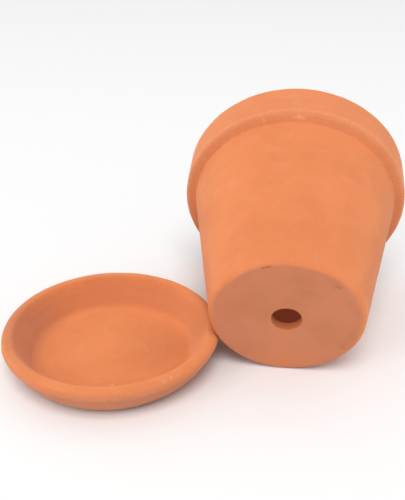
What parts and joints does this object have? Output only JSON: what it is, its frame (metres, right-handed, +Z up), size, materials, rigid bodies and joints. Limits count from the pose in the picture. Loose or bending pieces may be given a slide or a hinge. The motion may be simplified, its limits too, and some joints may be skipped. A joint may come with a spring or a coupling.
{
  "type": "flower pot",
  "caption": "Terracotta flower pot with a thick collar and a drain hole in its base, lying on its side beside a matching round saucer.",
  "frame": {"origin": "on the ground, at the centre of the saucer's underside", "axes": "+Z up; +X from the saucer towards the pot beside it; +Y away from the pot's base, roughly the way its mouth points"},
  "size_m": [0.2658, 0.1937, 0.1507],
  "materials": {
    "pot_clay": "matte",
    "saucer_clay": "matte"
  },
  "bodies": {
    "saucer": {"saucer": "saucer_clay"},
    "pot": {"pot": "pot_clay"}
  },
  "joints": [
    {"name": "pot_tip_up", "type": "hinge", "parent": "saucer", "child": "pot", "pos_m": [0.11059, -0.01208, 0.00161], "axis": [0.9948, -0.0826, 0.0599], "range_deg": [0, 75.46]}
  ]
}
